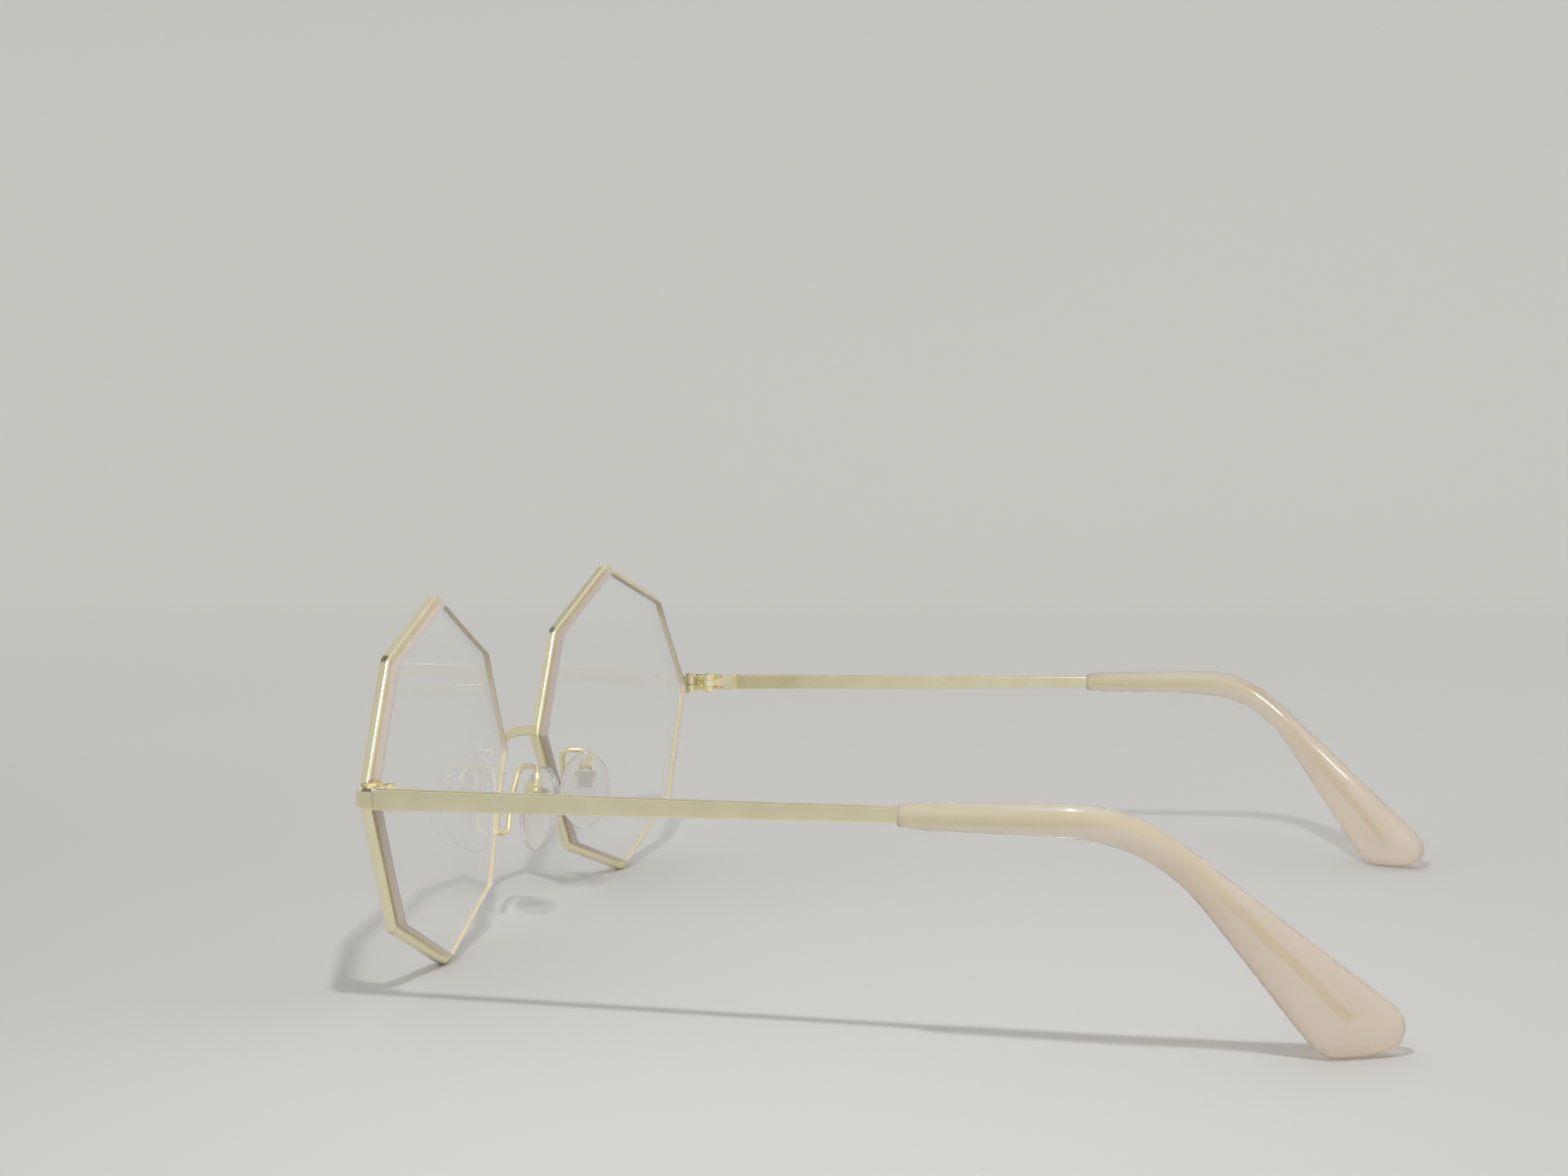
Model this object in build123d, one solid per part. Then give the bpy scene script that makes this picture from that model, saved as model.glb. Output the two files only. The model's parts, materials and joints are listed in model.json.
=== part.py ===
import os
from math import atan2, cos, degrees, radians, sin, sqrt, tan

from build123d import *

# Octagonal eyeglasses, built standing on their lower rim corners and temple tips.
# The front faces -Y, the temples run back to +Y, +X is the wearer's left. Millimetres.

# Rims
rim_half_width = 27.9         # lens centre to the outer and to the nose corner
rim_half_height = 27.0        # lens centre to the top and to the bottom corner
nose_gap = 12.9               # between the two rims at their nose corners
rim_wrap = 5.7                # degrees, each rim turned back towards its temple
rim_width = 1.25              # wire section, in the plane of the lens
rim_depth = 1.5               # wire section, front to back
rim_corner_radius = 2.3       # outside bend of each corner
rim_edge_round = 0.45         # rolled outer edges of the wire
rim_split = 0.12              # saw cut that the closing screw pulls together

# Corners of one rim, going round from the top towards the temple,
# as shares of the half width (outwards) and of the half height (up)
corner_shares = {
    "top": (-0.055, 1.0),
    "upper outer": (0.645, 0.735),
    "outer": (1.0, 0.1),
    "lower outer": (0.71, -0.66),
    "bottom": (0.03, -1.0),
    "lower nose": (-0.655, -0.735),
    "nose": (-1.0, 0.02),
    "upper nose": (-0.735, 0.645),
}

# Lenses
groove_depth = 0.5
groove_half_width = 0.45
lens_fit = 0.02               # all round the lens in its rim
lens_front_proud = 0.25       # edge standing out in front of the rim
lens_back_proud = 1.2         # edge standing out behind the rim
lens_front_radius = 900.0
lens_back_radius = 450.0

# Bridge
bridge_height = 1.6
bridge_depth = 1.15
bridge_above_corner = 0.9     # bridge end above the nose corner
bridge_arch = 0.65            # middle above the ends
bridge_bow = 0.9              # middle in front of the ends
bridge_round = 0.35

# End pieces and rim locks
end_height = 2.9
end_thickness = 1.5
end_front_set = 0.2           # front face of the end piece behind the front of the rim
end_slant = 0.9               # how far its front face slopes back before the outer bend
end_bend = 1.6                # cut across the outer bend
end_inner_depth = 1.9         # front face to the back of the part beside the rim lock
end_edge_round = 0.4
block_width = 2.0
block_depth = 2.1
block_height = 1.5
block_gap = 0.1
block_lens_gap = 0.2
closing_screw_radius = 0.5
closing_screw_clearance = 0.03
closing_head_radius = 0.8
closing_head_height = 0.4
screw_slot_width = 0.2
screw_slot_depth = 0.18

# Hinges
hinge_out = 1.58              # hinge axis outwards of the rim's outer corner
hinge_behind = 4.93           # hinge axis behind the rim's outer corner
knuckle_radius = 1.1
knuckle_height = 1.15         # middle knuckle
outer_knuckle_height = 0.9    # upper and lower knuckles
knuckle_gap = 0.05
knuckle_relief = 0.25         # leaf cut back around the other leaf's knuckle
leaf_thickness = 0.8
leaf_height = 2.7
front_leaf_length = 2.4       # ahead of the axis
front_slot_end = 1.9          # slot for the middle knuckle, ahead of the axis
temple_leaf_start = 2.6       # full height part of the temple's leaf, behind the axis
temple_leaf_end = 4.8
hinge_screw_radius = 0.45
hinge_screw_clearance = 0.05
hinge_head_radius = 0.75
hinge_head_height = 0.25
butt_gap = 0.1                # between the end piece and the temple
butt_ahead = 1.2              # front end of the temple ahead of the hinge axis
butt_chamfer = 0.5

# Temples
temple_splay = 1.84           # degrees, outwards
strip_thickness = 1.0
strip_front_height = 2.8
strip_rear_height = 2.0
strip_round = 0.18            # rolled long edges
core_height = 1.3
core_thickness = 0.9
core_bend_radius = 16.0
core_clearance = 0.03
core_notch_depth = 0.2
core_notch_width = 0.3
core_notch_pitch = 0.75
core_notches = 6
core_bore_past = 2.0          # bore carries on past the end of the core

# Temple tips, measured back from the hinge axis and down from its height
tip_start = 70.0
tip_start_height = 3.3
tip_bend_height = 4.5
tip_bend_distance = 99.3      # where the middle line turns down
tip_top_slope = 42.2          # degrees below level, upper edge
tip_under_slope = 56.5        # degrees below level, lower edge
tip_top_bend_radius = 18.0
tip_under_bend_radius = 17.5
tip_under_bend_set = 0.5      # lower edge turns down behind the middle line
tip_foot_length = 7.0         # edge that stands on the table
tip_heel_back = 4.0           # back corner behind the foot
tip_heel_height = 3.5         # back corner above the foot
tip_heel_radius = 2.6
tip_foot_back_radius = 5.5
tip_foot_front_radius = 2.9
tip_start_thickness = 2.7
tip_end_thickness = 3.7
tip_outward = 0.35            # middle of the tip outwards of the core
tip_inward = 27.0             # degrees, the lower part turned in towards the head
tip_inward_ahead = 1.8        # inward turn ahead of the downward one
tip_inward_radius = 38.0
tip_edge_round = 1.1
core_end_short = 7.8          # end of the core ahead of the back corner
core_end_rise = 4.6           # end of the core above the foot

# Nose pads
pad_length = 13.3
pad_width = 8.0
pad_thickness = 2.2
pad_nose_radius = 30.0        # crown of the face that touches the nose
pad_back_radius = 45.0
pad_edge_round = 0.4
pad_set_out = 2.55            # pad centre outwards of the rim's nose corner
pad_behind = 7.67             # pad centre behind the rim's nose corner
pad_drop = 8.4                # pad centre below the lens centre
pad_splay = 22.0              # degrees, back edges further apart than the front edges
pad_lean = 10.0               # degrees, tops closer together than the bottoms
pad_tilt = 5.0                # degrees, tops further back than the bottoms
pivot_above = 2.8             # rocking axis above the pad's centre
pivot_behind = 1.0            # rocking axis off the pad's outer face
core_bar_width = 3.4
core_bar_height = 1.0
core_stem_width = 2.4
core_stem_length = 2.2        # below the rocking axis
core_plate_thickness = 0.7
lug_width = 1.1
lug_radius = 0.5

# Pad boxes and screws
box_width = 2.1
box_above = 1.05              # outer top above the axis
box_below = 0.75
box_wall = 0.38
box_open_reach = 0.65         # open edge of the box beyond the axis, towards the pad
box_back_reach = 0.95
pad_screw_radius = 0.35
pad_screw_clearance = 0.04
pad_head_radius = 0.6
pad_head_height = 0.25

# Pad arms
arm_radius = 0.43
arm_foot_height = 3.0
arm_foot_drop = 11.8          # bottom of the U below the lens centre
arm_foot_inset = 0.3          # middle of the foot inside the rim's nose wall
arm_solder_sink = 0.15        # flat on the wire where it is soldered
arm_u_width = 1.9             # between the two legs of the U
arm_u_radius = 0.9
arm_leg_bow = 0.5             # middle of the long leg bowed to the front
arm_leg_radius = 8.0
arm_crest_above = 2.5         # crest of the arch above the top of the box
arm_crest_inward = 1.5        # back of the crest nearer the middle than the box
arm_crest_ahead = 0.95        # back of the crest ahead of the box
arm_crest_width = 2.9         # crest, front to back
arm_crest_turn = 0.7          # front of the crest nearer the middle than its back
arm_crest_radius = 1.4
arm_rise = 1.2                # straight piece that stands on the box
arm_rise_radius = 1.0
arm_on_box = 0.55             # wire behind the middle of the box's top

overrun = 5.0                 # extra length of every cutting shape
long_overrun = 40.0           # extra length of the shapes that cut out the temples

# Direction cosine above which two directions count as parallel
parallel_share = 0.999
head_chamfer_share = 1 / 3     # of a screw head's height


def lens_plane():
    """Plane of the left lens: x outwards, y up, z towards the front."""
    wrap = radians(rim_wrap)
    side = nose_gap / 2 + rim_half_width * cos(wrap)
    return Plane(
        origin=(side, 0, rim_half_height),
        x_dir=(cos(wrap), sin(wrap), 0),
        z_dir=(sin(wrap), -cos(wrap), 0),
    )


lens_frame = lens_plane()


def rim_corner(name):
    u_share, v_share = corner_shares[name]
    return (u_share * rim_half_width, v_share * rim_half_height)


def rim_outline(inset):
    """Face inside the rim's outer wall, drawn in by inset."""
    corners = [rim_corner(name) for name in corner_shares]
    outline = make_face(FilletPolyline(*corners, radius=rim_corner_radius, close=True))
    if inset > 0:
        outline = offset(outline, amount=-inset, kind=Kind.INTERSECTION)
    return outline


def in_lens_frame(shape):
    return lens_frame.location * shape


def slab(face, low, high):
    return Pos(0, 0, low) * extrude(face, amount=high - low)


def block_between(low, high):
    """Box between two opposite corners."""
    size = [top - bottom for bottom, top in zip(low, high)]
    middle = [(top + bottom) / 2 for bottom, top in zip(low, high)]
    return Pos(*middle) * Box(*size)


def outer_side(at):
    """Test for edges whose middle lies outwards of a place."""
    return lambda edge: edge.center().X > at


def bevel_ring(tip_inset, half_width):
    """Double-sided bevel whose edge reaches tip_inset from the rim's outer wall."""
    rise = rim_width - tip_inset
    middle = rim_outline(tip_inset)
    side = rim_outline(tip_inset + rise)
    front = loft([middle.face(), (Pos(0, 0, half_width) * side).face()], ruled=True)
    back = loft([middle.face(), (Pos(0, 0, -half_width) * side).face()], ruled=True)
    return front + back


def rim():
    body = slab(rim_outline(0), -rim_depth / 2, rim_depth / 2)
    flats = body.faces().sort_by(Axis.Z)
    body = fillet(flats[0].edges() + flats[-1].edges(), rim_edge_round)
    opening = slab(rim_outline(rim_width), -rim_depth, rim_depth)
    body = body - opening
    body = body - bevel_ring(rim_width - groove_depth, groove_half_width)
    u, v = rim_corner("outer")
    saw = Pos(u, v, 0) * Box(overrun, rim_split, overrun)
    return in_lens_frame(body - saw)


def lens():
    edge_front = rim_depth / 2 + lens_front_proud
    edge_back = -rim_depth / 2 - lens_back_proud
    blank = slab(rim_outline(rim_width + lens_fit), -overrun, overrun)
    front_centre = edge_front - sqrt(lens_front_radius**2 - rim_half_height**2)
    back_centre = edge_back - sqrt(lens_back_radius**2 - rim_half_height**2)
    blank = blank & (Pos(0, 0, front_centre) * Sphere(lens_front_radius))
    blank = blank - (Pos(0, 0, back_centre) * Sphere(lens_back_radius))
    ring = bevel_ring(rim_width - groove_depth + lens_fit, groove_half_width - lens_fit)
    return in_lens_frame(blank + ring)


# Places worked out from the sizes above
lens_centre = lens_frame.origin
outer_place = lens_frame.from_local_coords(rim_corner("outer"))
nose_place = lens_frame.from_local_coords(rim_corner("nose"))
end_height_centre = outer_place.Z
strip_inner = knuckle_radius + knuckle_relief
strip_middle = strip_inner + strip_thickness / 2
strip_outer = strip_inner + strip_thickness
hinge_place = outer_place + Vector(hinge_out, hinge_behind, 0)
temple_frame = Location(hinge_place) * Rotation(0, 0, -temple_splay)
knuckle_stack = knuckle_height / 2 + knuckle_gap + outer_knuckle_height
rim_low = lens_centre.Z + rim_outline(0).bounding_box().min.Y
tip_foot_drop = end_height_centre - rim_low
tip_foot_front = (
    tip_bend_distance
    + tip_under_bend_set
    + (tip_foot_drop - tip_bend_height / 2) / tan(radians(tip_under_slope))
)
tip_reach = tip_foot_front + tip_foot_length + tip_heel_back
tip_inward_distance = tip_bend_distance - tip_inward_ahead
core_end_back = tip_reach - core_end_short
core_end_drop = tip_foot_drop - core_end_rise
block_inner = rim_corner("outer")[0] - rim_width + block_lens_gap
block_middle = (block_inner + block_width / 2, -rim_depth / 2 - block_depth / 2)


def rim_blank():
    """Everything inside the rim's outer wall, as deep as the wire."""
    return in_lens_frame(slab(rim_outline(0), -rim_depth / 2, rim_depth / 2))


def bridge():
    reach = nose_gap / 2 + rim_width / 2
    back = nose_place.Y
    height = nose_place.Z + bridge_above_corner
    path = ThreePointArc(
        (reach, back, height),
        (0, back - bridge_bow, height + bridge_arch),
        (-reach, back, height),
    )
    along = path % 0
    section = Plane(origin=path @ 0, x_dir=Vector(0, 0, 1).cross(along), z_dir=along)
    wire = sweep(section * RectangleRounded(bridge_depth, bridge_height, bridge_round), path)
    blank = rim_blank()
    return wire - blank - mirror(blank, about=Plane.YZ)


def lock_boxes():
    """Upper and lower block of the rim lock, plain, in the lens frame."""
    u, w = block_middle
    v = rim_corner("outer")[1]
    lift = block_gap / 2 + block_height / 2
    plain = Box(block_width, block_height, block_depth)
    return [Pos(u, v + lift, w) * plain, Pos(u, v - lift, w) * plain]


def closing_block(index):
    block = lock_boxes()[index]
    corners = block.edges().filter_by(Axis.Y).sort_by(Axis.Z)[:2]
    block = fillet(corners, end_edge_round)
    u, w = block_middle
    v = rim_corner("outer")[1]
    bore = Cylinder(closing_screw_radius + closing_screw_clearance, overrun)
    hole = Pos(u, v, w) * Rot(90, 0, 0) * bore
    return in_lens_frame(block - hole)


def slotted_screw(shank_radius, shank_length, head_radius, head_height):
    """Screw standing on its tip at z 0, with a slotted head."""
    shank = Pos(0, 0, shank_length / 2) * Cylinder(shank_radius, shank_length)
    head = Pos(0, 0, shank_length + head_height / 2) * Cylinder(head_radius, head_height)
    top_edge = head.edges().filter_by(GeomType.CIRCLE).sort_by(Axis.Z)[-1]
    head = chamfer(top_edge, head_height * head_chamfer_share)
    depth = min(screw_slot_depth, head_height / 2)
    slot = Pos(0, 0, shank_length + head_height) * Box(2 * head_radius, screw_slot_width, 2 * depth)
    return shank + head - slot


def closing_screw():
    length = 2 * block_height + block_gap
    screw = slotted_screw(closing_screw_radius, length, closing_head_radius, closing_head_height)
    u, w = block_middle
    v = rim_corner("outer")[1] - length / 2
    return in_lens_frame(Pos(u, v, w) * Rot(-90, 0, 0) * screw)


def end_piece():
    outer = hinge_place.X + strip_outer
    inner = outer - end_thickness
    start = outer_place.X - rim_width
    front = outer_place.Y - rim_depth / 2 + end_front_set
    rear = hinge_place.Y - butt_ahead - butt_gap
    plan = [
        (start, front),
        (outer - end_bend, front + end_slant),
        (outer, front + end_slant + end_bend),
        (outer, rear),
        (inner, rear),
        (inner, front + end_inner_depth + end_slant),
        (start, front + end_inner_depth),
    ]
    bend = end_bend / 2
    outline = make_face(FilletPolyline(*plan, radius=[0, bend, bend, 0, 0, 0, 0], close=True))
    body = Pos(0, 0, end_height_centre) * extrude(outline, amount=end_height / 2, both=True)
    long_edges = body.faces().filter_by(Axis.Z).edges().filter_by(outer_side(start + end_bend))
    body = chamfer(long_edges, end_edge_round)
    behind = -rim_depth / 2
    lock_room = block_between(
        (block_inner - overrun, -rim_half_height, behind - overrun),
        (block_inner + block_width, rim_half_height, behind),
    )
    return body - rim_blank() - in_lens_frame(lock_room)


def knuckle(low, high):
    return Pos(0, 0, (low + high) / 2) * Cylinder(knuckle_radius, high - low)


def front_hinge():
    outside = strip_outer - end_thickness
    inside = outside - leaf_thickness
    plate = block_between((inside, -front_leaf_length, -leaf_height / 2), (outside, 0, leaf_height / 2))
    slot = block_between(
        (inside - overrun, -front_slot_end, -knuckle_height / 2 - knuckle_gap),
        (outside + overrun, overrun, knuckle_height / 2 + knuckle_gap),
    )
    low = knuckle_height / 2 + knuckle_gap
    body = plate - slot + knuckle(low, knuckle_stack) + knuckle(-knuckle_stack, -low)
    body = body - Cylinder(hinge_screw_radius + core_clearance, 4 * knuckle_stack)
    return Location(hinge_place) * body


def temple_hinge():
    inside = strip_inner - leaf_thickness
    plate = block_between(
        (inside, temple_leaf_start, -leaf_height / 2), (strip_inner, temple_leaf_end, leaf_height / 2)
    )
    tongue = block_between(
        (inside, 0, -knuckle_height / 2), (strip_inner, temple_leaf_start, knuckle_height / 2)
    )
    body = plate + tongue + knuckle(-knuckle_height / 2, knuckle_height / 2)
    body = body - Cylinder(hinge_screw_radius + hinge_screw_clearance, 2 * knuckle_stack)
    return temple_frame * body


def hinge_screw():
    length = 2 * knuckle_stack + hinge_head_height
    screw = slotted_screw(hinge_screw_radius, length, hinge_head_radius, hinge_head_height)
    return Location(hinge_place) * Pos(0, 0, -knuckle_stack - hinge_head_height) * screw


def bent_outline(stations, turn_at, turn, radius):
    """Face of a band that runs straight, turns once and runs on.

    stations: front, turn and end as (distance along, half width). Distance runs along x,
    the band turns towards -y by turn degrees at turn_at.
    """
    (start, start_half), (_, turn_half), (run, end_half) = stations
    half_turn = tan(radians(turn) / 2)
    along = (cos(radians(turn)), -sin(radians(turn)))
    across = (-along[1], along[0])
    end = (turn_at + along[0] * run, along[1] * run)
    upper = [
        (start, start_half),
        (turn_at + turn_half * half_turn, turn_half),
        (end[0] + across[0] * end_half, end[1] + across[1] * end_half),
    ]
    lower = [
        (end[0] - across[0] * end_half, end[1] - across[1] * end_half),
        (turn_at - turn_half * half_turn, -turn_half),
        (start, -start_half),
    ]
    radii = [0, radius + turn_half, 0, 0, radius - turn_half, 0]
    return make_face(FilletPolyline(*upper, *lower, radius=radii, close=True))


def side_prism(face):
    """Stands a face drawn in (back, up) upright and gives it width, square to the turned tip."""
    across = (cos(radians(tip_inward)), sin(radians(tip_inward)), 0)
    return extrude(Plane.YZ * face, amount=long_overrun, both=True, dir=across)


def plan_prism(face):
    """Lays a face drawn in (back, inward turn) flat beside the hinge and gives it height."""
    flat = Plane(origin=(strip_middle, 0, 0), x_dir=(0, 1, 0), z_dir=(0, 0, -1)) * face
    return extrude(flat, amount=long_overrun, both=True)


def tip_side(back):
    """Sideways place of the tip's middle line at a distance behind the hinge."""
    return strip_middle - max(0, back - tip_inward_distance) * tan(radians(tip_inward))


def skewed(back):
    """Distance at which an outline at x 0 is drawn, to reach back once it is extruded askew."""
    return back - tip_side(back) * tan(radians(tip_inward))


def start_half_space(at):
    """Everything behind a plane square to the temple."""
    low = (-long_overrun, at, -long_overrun)
    high = (long_overrun, at + 2 * long_overrun, long_overrun)
    return block_between(low, high)


def core_wire(grow=0, past=0):
    """Core inside the tip, from the start of the tip to its own end."""
    start = skewed(tip_start) - overrun
    bend = skewed(tip_bend_distance)
    fall = skewed(core_end_back) - bend
    turn = degrees(atan2(core_end_drop, fall))
    run = sqrt(fall**2 + core_end_drop**2) + past
    half = core_height / 2 + grow
    stations = [(start, strip_rear_height / 2 + grow), (bend, half), (run, half)]
    side = bent_outline(stations, bend, turn, core_bend_radius)
    thick = core_thickness / 2 + grow
    plan_run = (tip_reach - tip_inward_distance) / cos(radians(tip_inward)) + overrun
    stations = [(tip_start - overrun, thick), (tip_inward_distance, thick), (plan_run, thick)]
    plan = bent_outline(stations, tip_inward_distance, tip_inward, tip_inward_radius)
    return side_prism(side) & plan_prism(plan) & start_half_space(tip_start)


def temple():
    strip_side = make_face(
        Polyline(
            (-butt_ahead, strip_front_height / 2 - butt_chamfer),
            (-butt_ahead + butt_chamfer, strip_front_height / 2),
            (tip_start, strip_rear_height / 2),
            (tip_start, -strip_rear_height / 2),
            (-butt_ahead, -strip_front_height / 2),
            close=True,
        )
    )
    strip = extrude(Plane.YZ * strip_side, amount=strip_thickness / 2, both=True)
    strip = fillet(strip.edges().filter_by(runs_back), strip_round)
    strip = Pos(strip_middle, 0, 0) * strip
    return temple_frame * (strip + core_wire() - core_notching())


def runs_back(edge):
    """Test for edges that run from front to back."""
    return abs((edge % 0.5).Y) > parallel_share


def core_notching():
    """Saw teeth across both edges of the core's end."""
    end = Vector(tip_side(core_end_back), core_end_back, -core_end_drop)
    bend = Vector(tip_side(tip_bend_distance), tip_bend_distance, 0)
    across = (cos(radians(tip_inward)), sin(radians(tip_inward)), 0)
    place = Plane(origin=end, x_dir=bend - end, z_dir=across).location
    notch = Box(core_notch_width, 2 * core_notch_depth, 2 * strip_thickness)
    cuts = []
    for count in range(core_notches):
        along = (count + 1) * core_notch_pitch
        cuts.append(place * Pos(along, core_height / 2, 0) * notch)
        cuts.append(place * Pos(along, -core_height / 2, 0) * notch)
    return cuts


def temple_tip():
    half = tip_bend_height / 2
    heel_drop = tip_foot_drop - tip_heel_height
    top_bend = tip_reach - (heel_drop + half) / tan(radians(tip_top_slope))
    side = [
        (skewed(tip_start) - overrun, tip_start_height / 2),
        (skewed(top_bend), half),
        (skewed(tip_reach), -heel_drop),
        (skewed(tip_foot_front + tip_foot_length), -tip_foot_drop),
        (skewed(tip_foot_front), -tip_foot_drop),
        (skewed(tip_bend_distance + tip_under_bend_set), -half),
        (skewed(tip_start) - overrun, -tip_start_height / 2),
    ]
    radii = [
        0,
        tip_top_bend_radius,
        tip_heel_radius,
        tip_foot_back_radius,
        tip_foot_front_radius,
        tip_under_bend_radius,
        0,
    ]
    outline = make_face(FilletPolyline(*side, radius=radii, close=True))
    run = (tip_reach - tip_inward_distance) / cos(radians(tip_inward)) + overrun
    stations = [
        (tip_start - overrun, tip_start_thickness / 2),
        (tip_inward_distance, (tip_start_thickness + tip_end_thickness) / 4),
        (run, tip_end_thickness / 2),
    ]
    plan = bent_outline(stations, tip_inward_distance, tip_inward, tip_inward_radius)
    placed_plan = Pos(tip_outward, 0, 0) * plan_prism(plan)
    body = side_prism(outline) & placed_plan & start_half_space(tip_start)
    body = fillet(body.edges().filter_by(rounded_tip_edge), tip_edge_round)
    return temple_frame * (body - core_wire(core_clearance, core_bore_past))


def rounded_tip_edge(edge):
    """Test for the long edges of the tip, not the seams between its tangent faces."""
    across = Vector(cos(radians(tip_inward)), sin(radians(tip_inward)), 0)
    along = edge % 0.5
    upright = abs(along.Z) > parallel_share
    crosswise = abs(along.dot(across)) > parallel_share
    return edge.center().Y > tip_start + core_clearance and not upright and not crosswise


def pad_plane():
    """Plane of the left pad: x forwards, y up, z towards the nose."""
    splay = radians(pad_splay)
    lean = radians(pad_lean)
    tilt = radians(pad_tilt)
    forwards = Vector(-sin(splay), -cos(splay), 0)
    noseward = Vector(-cos(splay) * cos(lean), sin(splay) * cos(lean), -sin(lean))
    upwards = noseward.cross(forwards)
    return Plane(
        origin=nose_place + Vector(pad_set_out, pad_behind, lens_centre.Z - pad_drop - nose_place.Z),
        x_dir=forwards * cos(tilt) + upwards * sin(tilt),
        z_dir=noseward,
    )


pad_frame = pad_plane()
pivot = (0, pivot_above, -pad_thickness / 2 - pivot_behind)


def in_pad_frame(shape):
    return pad_frame.location * shape


def pad_core_shape():
    plate_middle = -core_plate_thickness / 4
    bar = Pos(0, pivot_above, plate_middle) * Box(core_bar_width, core_bar_height, core_plate_thickness)
    stem = Box(core_stem_width, core_stem_length, core_plate_thickness)
    stem = Pos(0, pivot_above - core_stem_length / 2, plate_middle) * stem
    neck = block_between(
        (-lug_width / 2, pivot_above - lug_radius, pivot[2]),
        (lug_width / 2, pivot_above + lug_radius, plate_middle),
    )
    eye = Pos(*pivot) * Rot(0, 90, 0) * Cylinder(lug_radius, lug_width)
    return bar + stem + neck + eye


def pad_core():
    hole = Pos(*pivot) * Rot(0, 90, 0) * Cylinder(pad_screw_radius + pad_screw_clearance, 2 * lug_width)
    return in_pad_frame(pad_core_shape() - hole)


def nose_pad():
    body = extrude(Ellipse(pad_width / 2, pad_length / 2), amount=pad_thickness, both=True)
    body = body & (Pos(0, 0, pad_thickness / 2 - pad_nose_radius) * Sphere(pad_nose_radius))
    body = body & (Pos(0, 0, pad_back_radius - pad_thickness / 2) * Sphere(pad_back_radius))
    body = fillet(body.edges(), pad_edge_round)
    return in_pad_frame(body - pad_core_shape())


def box_block():
    x, y, z = pivot
    return block_between(
        (-box_width / 2, y - box_below, z - box_back_reach),
        (box_width / 2, y + box_above, z + box_open_reach),
    )


def pad_box():
    x, y, z = pivot
    hollow = block_between(
        (-box_width / 2 + box_wall, y - box_below - overrun, z - box_back_reach + box_wall),
        (box_width / 2 - box_wall, y + box_above - box_wall, z + box_open_reach + overrun),
    )
    hole = Pos(*pivot) * Rot(0, 90, 0) * Cylinder(pad_screw_radius + core_clearance, 2 * box_width)
    return in_pad_frame(box_block() - hollow - hole)


def pad_screw():
    screw = slotted_screw(pad_screw_radius, box_width, pad_head_radius, pad_head_height)
    return in_pad_frame(Pos(*pivot) * Rot(0, -90, 0) * Pos(0, 0, -box_width / 2) * screw)


def nose_wall_u(v):
    """Rim's outer wall on the lower nose side, at height v in the lens frame."""
    upper_u, upper_v = rim_corner("nose")
    lower_u, lower_v = rim_corner("lower nose")
    return upper_u + (lower_u - upper_u) * (v - upper_v) / (lower_v - upper_v)


def pad_arm():
    low = -arm_foot_drop
    high = low + arm_foot_height
    behind = -rim_depth / 2 - arm_radius + arm_solder_sink
    low_u = nose_wall_u(low) + arm_foot_inset
    foot_top = lens_frame.from_local_coords((nose_wall_u(high) + arm_foot_inset, high, behind))
    foot_low = lens_frame.from_local_coords((low_u, low, behind))
    leg_low = lens_frame.from_local_coords((low_u, low, behind - arm_u_width))
    x, y, z = pivot
    box_middle = z + (box_open_reach - box_back_reach) / 2
    box_top = y + box_above
    inside_box = pad_frame.from_local_coords((-arm_on_box, box_top - box_wall, box_middle))
    above_box = pad_frame.from_local_coords((-arm_on_box, box_top + arm_rise, box_middle))
    crest_back = above_box + Vector(-arm_crest_inward, -arm_crest_ahead, arm_crest_above - arm_rise)
    crest_front = crest_back + Vector(-arm_crest_turn, -arm_crest_width, 0)
    leg_middle = (leg_low + crest_front) / 2 - Vector(0, arm_leg_bow, 0)
    path = FilletPolyline(
        foot_top, foot_low, leg_low, leg_middle, crest_front, crest_back, above_box, inside_box,
        radius=[
            arm_u_radius, arm_u_radius, arm_leg_radius,
            arm_crest_radius, arm_crest_radius, arm_rise_radius,
        ],
    )
    section = Plane(origin=path @ 0, z_dir=path % 0)
    wire = sweep(section * Circle(arm_radius), path)
    return wire - rim_blank() - in_pad_frame(box_block())


def both_sides(name, shape):
    return {"left_" + name: shape, "right_" + name: mirror(shape, about=Plane.YZ)}


nodes = {"bridge": bridge()}
nodes.update(both_sides("rim", rim()))
nodes.update(both_sides("lens", lens()))
nodes.update(both_sides("end_piece", end_piece()))
nodes.update(both_sides("upper_closing_block", closing_block(0)))
nodes.update(both_sides("lower_closing_block", closing_block(1)))
nodes.update(both_sides("closing_screw", closing_screw()))
nodes.update(both_sides("front_hinge", front_hinge()))
nodes.update(both_sides("hinge_screw", hinge_screw()))
nodes.update(both_sides("temple", temple()))
nodes.update(both_sides("temple_hinge", temple_hinge()))
nodes.update(both_sides("temple_tip", temple_tip()))
nodes.update(both_sides("nose_pad", nose_pad()))
nodes.update(both_sides("pad_core", pad_core()))
nodes.update(both_sides("pad_box", pad_box()))
nodes.update(both_sides("pad_screw", pad_screw()))
nodes.update(both_sides("pad_arm", pad_arm()))

# The whole stands on z 0 with the middle of its length at y 0
boxes = [shape.bounding_box() for shape in nodes.values()]
front_end = min(box.min.Y for box in boxes)
back_end = max(box.max.Y for box in boxes)
to_rest = Pos(0, -(front_end + back_end) / 2, -min(box.min.Z for box in boxes))

os.makedirs("parts", exist_ok=True)
for name, shape in nodes.items():
    placed = to_rest * shape
    export_step(placed, "parts/" + name + ".step")
    print(name, "volume", round(placed.volume, 3), "valid", placed.is_valid, "solids", len(placed.solids()))

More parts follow.
